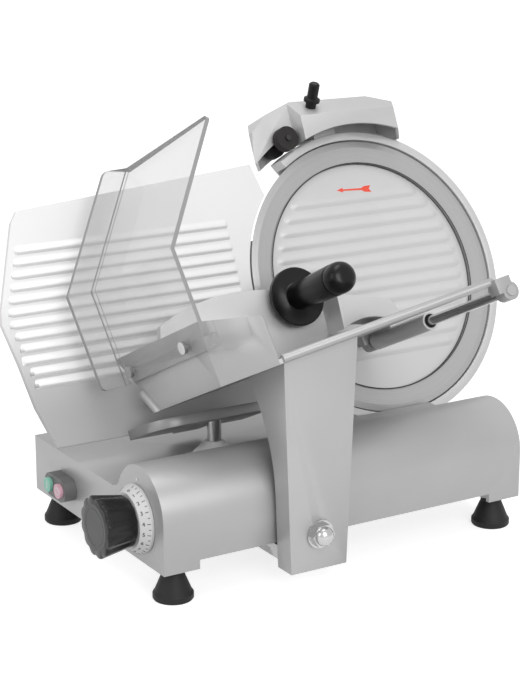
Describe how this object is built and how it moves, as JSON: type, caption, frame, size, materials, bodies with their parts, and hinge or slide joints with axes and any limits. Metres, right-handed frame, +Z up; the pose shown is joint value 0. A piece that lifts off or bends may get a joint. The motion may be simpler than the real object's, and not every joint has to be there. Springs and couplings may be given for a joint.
{
  "type": "food slicer",
  "caption": "Gravity-feed electric food slicer with a tilted round blade, ribbed gauge plate, sliding tray with clear guard, swinging pusher, thickness knob and top sharpener",
  "frame": {"origin": "middle of the footprint of the whole machine, on the floor under the feet", "axes": "+X to the operator's right along the carriage travel, +Y away from the operator, +Z up"},
  "size_m": [0.5976, 0.4432, 0.4472],
  "materials": {
    "cast_aluminium": "satin",
    "pale_aluminium": "satin",
    "blade_steel": "brushed",
    "bright_steel": "polished",
    "black_plastic": "satin",
    "grey_paint": "satin",
    "black_rubber": "matte",
    "clear_acrylic": "clear",
    "green_plastic": "gloss",
    "red_plastic": "gloss",
    "grinding_grit": "rough",
    "honing_grit": "rough"
  },
  "bodies": {
    "base": {"base_casting": "cast_aluminium", "bottom_cover": "cast_aluminium", "feet": "black_rubber", "foot_studs": "bright_steel", "blade_housing": "cast_aluminium", "ring_guard": "pale_aluminium", "drive_cover": "cast_aluminium", "motor_case": "grey_paint", "motor_end_cap": "black_plastic", "shaft_bearings": "bright_steel", "drive_belt": "black_rubber", "blade_cover": "pale_aluminium", "tie_rod": "bright_steel", "gauge_guide": "bright_steel", "switch_bezel": "black_plastic", "carriage_rail": "bright_steel", "sharpener_stem": "bright_steel", "slice_deflector": "cast_aluminium", "cable_gland": "black_plastic"},
    "blade_rotor": {"blade": "blade_steel", "blade_shaft": "bright_steel", "driven_pulley": "bright_steel", "blade_screws": "bright_steel"},
    "motor_rotor": {"motor_shaft": "bright_steel", "motor_pulley": "bright_steel"},
    "tie_knob": {"tie_rod_knob": "black_plastic"},
    "gauge": {"gauge_plate": "pale_aluminium", "gauge_bracket": "cast_aluminium", "gauge_post": "bright_steel", "post_cap": "pale_aluminium", "gauge_slider": "bright_steel"},
    "knob": {"thickness_knob": "black_plastic", "thickness_dial": "pale_aluminium", "knob_shaft": "bright_steel", "cam_disc": "bright_steel"},
    "start": {"start_button": "green_plastic"},
    "stop": {"stop_button": "red_plastic"},
    "carriage": {"carriage_slider": "bright_steel", "arm": "cast_aluminium", "arm_bolt": "bright_steel", "tray": "cast_aluminium", "clear_guard": "clear_acrylic", "guard_screws": "bright_steel", "pusher_rod": "bright_steel"},
    "pusher_slide": {"pusher_bush": "black_plastic"},
    "pusher": {"pusher_casting": "cast_aluminium", "pusher_handle": "black_plastic"},
    "sharpener": {"sharpener_cover": "cast_aluminium", "stone_spindles": "bright_steel"},
    "grinder": {"grinding_stone": "grinding_grit"},
    "honer": {"honing_stone": "honing_grit"},
    "sharp_knob": {"sharpener_knob": "black_plastic"}
  },
  "joints": [
    {"name": "blade_spin", "type": "hinge", "parent": "base", "child": "blade_rotor", "pos_m": [0.1372, 0.0603, 0.222], "axis": [0, -0.9063, 0.4226], "continuous": true},
    {"name": "motor_spin", "type": "hinge", "parent": "base", "child": "motor_rotor", "pos_m": [0.2132, 0.13402, 0.14349], "axis": [0, -0.9063, 0.4226], "continuous": true},
    {"name": "tie_knob_turn", "type": "hinge", "parent": "base", "child": "tie_knob", "pos_m": [0.1372, 0.0603, 0.222], "axis": [0, 0.9063, -0.4226], "range_deg": [0, 720]},
    {"name": "gauge_slide", "type": "slide", "parent": "base", "child": "gauge", "axis": [0, 1, 0], "range_m": [0, 0.0165]},
    {"name": "knob_turn", "type": "hinge", "parent": "base", "child": "knob", "pos_m": [-0.2458, -0.1132, 0.073], "axis": [-1, 0, 0], "range_deg": [0, 330]},
    {"name": "start_press", "type": "slide", "parent": "base", "child": "start", "axis": [1, 0, 0], "range_m": [0, 0.003], "stiffness_N_per_m": 600},
    {"name": "stop_press", "type": "slide", "parent": "base", "child": "stop", "axis": [1, 0, 0], "range_m": [0, 0.003], "stiffness_N_per_m": 600},
    {"name": "carriage_slide", "type": "slide", "parent": "base", "child": "carriage", "axis": [1, 0, 0], "range_m": [-0.08, 0.14]},
    {"name": "pusher_travel", "type": "slide", "parent": "carriage", "child": "pusher_slide", "axis": [0, -0.9063, 0.4226], "range_m": [0, 0.12]},
    {"name": "pusher_swing", "type": "hinge", "parent": "pusher_slide", "child": "pusher", "pos_m": [0.10269, -0.06193, 0.1965], "axis": [0, 0.9063, -0.4226], "range_deg": [0, 75]},
    {"name": "sharpener_lift", "type": "slide", "parent": "base", "child": "sharpener", "axis": [0, 0.4226, 0.9063], "range_m": [0, 0.02]},
    {"name": "grinder_spin", "type": "hinge", "parent": "sharpener", "child": "grinder", "pos_m": [0.0582, 0.12665, 0.36429], "axis": [0, -0.9063, 0.4226], "continuous": true},
    {"name": "honer_spin", "type": "hinge", "parent": "sharpener", "child": "honer", "pos_m": [0.0582, 0.12665, 0.36429], "axis": [0, -0.9063, 0.4226], "continuous": true},
    {"name": "sharpener_knob_turn", "type": "hinge", "parent": "sharpener", "child": "sharp_knob", "pos_m": [0.0972, 0.12884, 0.39858], "axis": [0, -0.2815, 0.9596], "range_deg": [0, 360]}
  ],
  "couplings": [
    {"joint": "knob_turn", "follows": "gauge_slide", "rad_per_m": 349.07},
    {"joint": "motor_spin", "follows": "blade_spin", "ratio": 3.5714}
  ]
}
